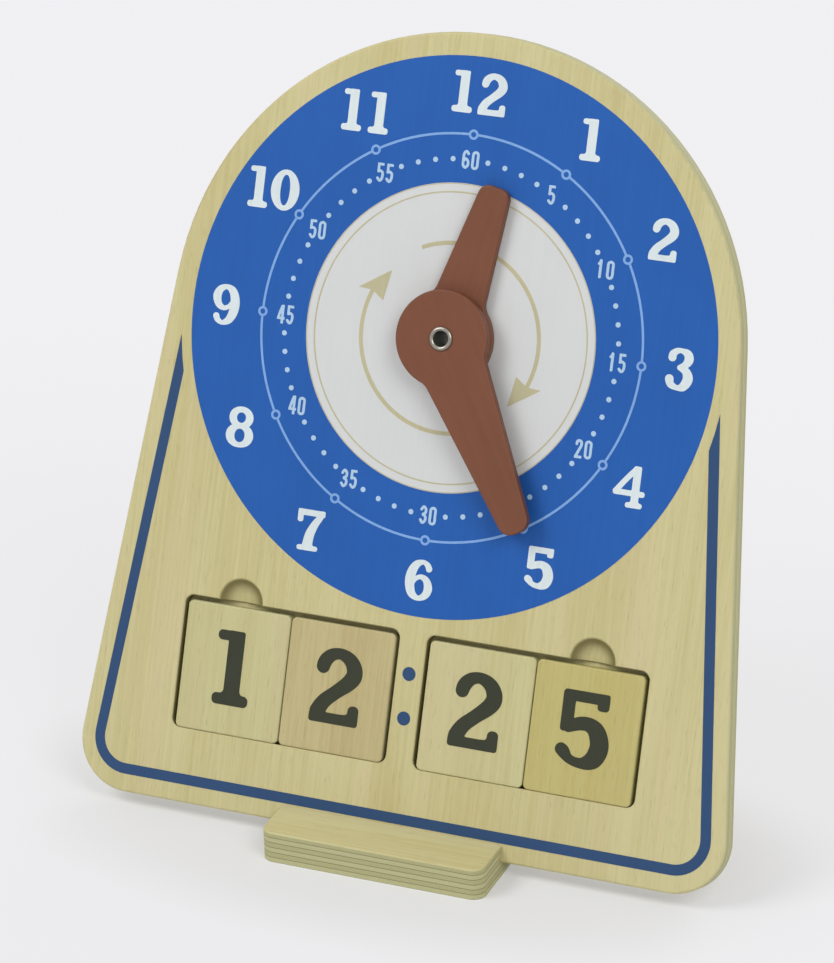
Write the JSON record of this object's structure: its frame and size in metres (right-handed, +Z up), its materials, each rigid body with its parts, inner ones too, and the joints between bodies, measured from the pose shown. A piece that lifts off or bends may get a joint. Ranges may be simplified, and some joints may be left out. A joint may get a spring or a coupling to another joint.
{
  "type": "teaching clock",
  "caption": "Leaning wooden clock board with a printed dial, turning hands and lift-out number tiles, standing in a grooved foot.",
  "frame": {"origin": "middle of the foot's underside, on the surface that the clock stands on", "axes": "+Z up, +X to the right of someone facing the dial, the dial faces -Y and leans back towards +Y"},
  "size_m": [0.2584, 0.1388, 0.2844],
  "materials": {
    "foot_plywood": "pale plywood with layers showing on its edges, satin lacquer",
    "board_plywood": "pale plywood, satin lacquer, printed on the front",
    "tile_plywood": "pale plywood, satin lacquer, one printed number on the front",
    "hand_paint": "reddish brown satin paint on wood",
    "spacer_plastic": "matt",
    "pivot_steel": "plated, rolled"
  },
  "bodies": {
    "stand": {"foot": "foot_plywood"},
    "board": {"back_panel": "board_plywood", "front_panel": "board_plywood", "hour_washer": "spacer_plastic", "minute_washer": "spacer_plastic", "back_washer": "pivot_steel", "pivot_eyelet": "pivot_steel"},
    "hour_hand": {"hour_hand": "hand_paint"},
    "minute_hand": {"minute_hand": "hand_paint"},
    "tile_hour_tens": {"tile_hour_tens": "tile_plywood"},
    "tile_hour_units": {"tile_hour_units": "tile_plywood"},
    "tile_minute_tens": {"tile_minute_tens": "tile_plywood"},
    "tile_minute_units": {"tile_minute_units": "tile_plywood"}
  },
  "joints": [
    {"name": "board_lift", "type": "slide", "parent": "stand", "child": "board", "axis": [0, 0.3746, 0.9272], "range_m": [0, 0.025]},
    {"name": "hour_turn", "type": "hinge", "parent": "board", "child": "hour_hand", "pos_m": [0, 0.03384, 0.18081], "axis": [0, 0.9272, -0.3746], "continuous": true},
    {"name": "minute_turn", "type": "hinge", "parent": "board", "child": "minute_hand", "pos_m": [0, 0.03384, 0.18081], "axis": [0, 0.9272, -0.3746], "continuous": true},
    {"name": "tile_hour_tens_lift", "type": "slide", "parent": "board", "child": "tile_hour_tens", "axis": [0, -0.9272, 0.3746], "range_m": [0, 0.03]},
    {"name": "tile_hour_units_lift", "type": "slide", "parent": "board", "child": "tile_hour_units", "axis": [0, -0.9272, 0.3746], "range_m": [0, 0.03]},
    {"name": "tile_minute_tens_lift", "type": "slide", "parent": "board", "child": "tile_minute_tens", "axis": [0, -0.9272, 0.3746], "range_m": [0, 0.03]},
    {"name": "tile_minute_units_lift", "type": "slide", "parent": "board", "child": "tile_minute_units", "axis": [0, -0.9272, 0.3746], "range_m": [0, 0.03]}
  ]
}
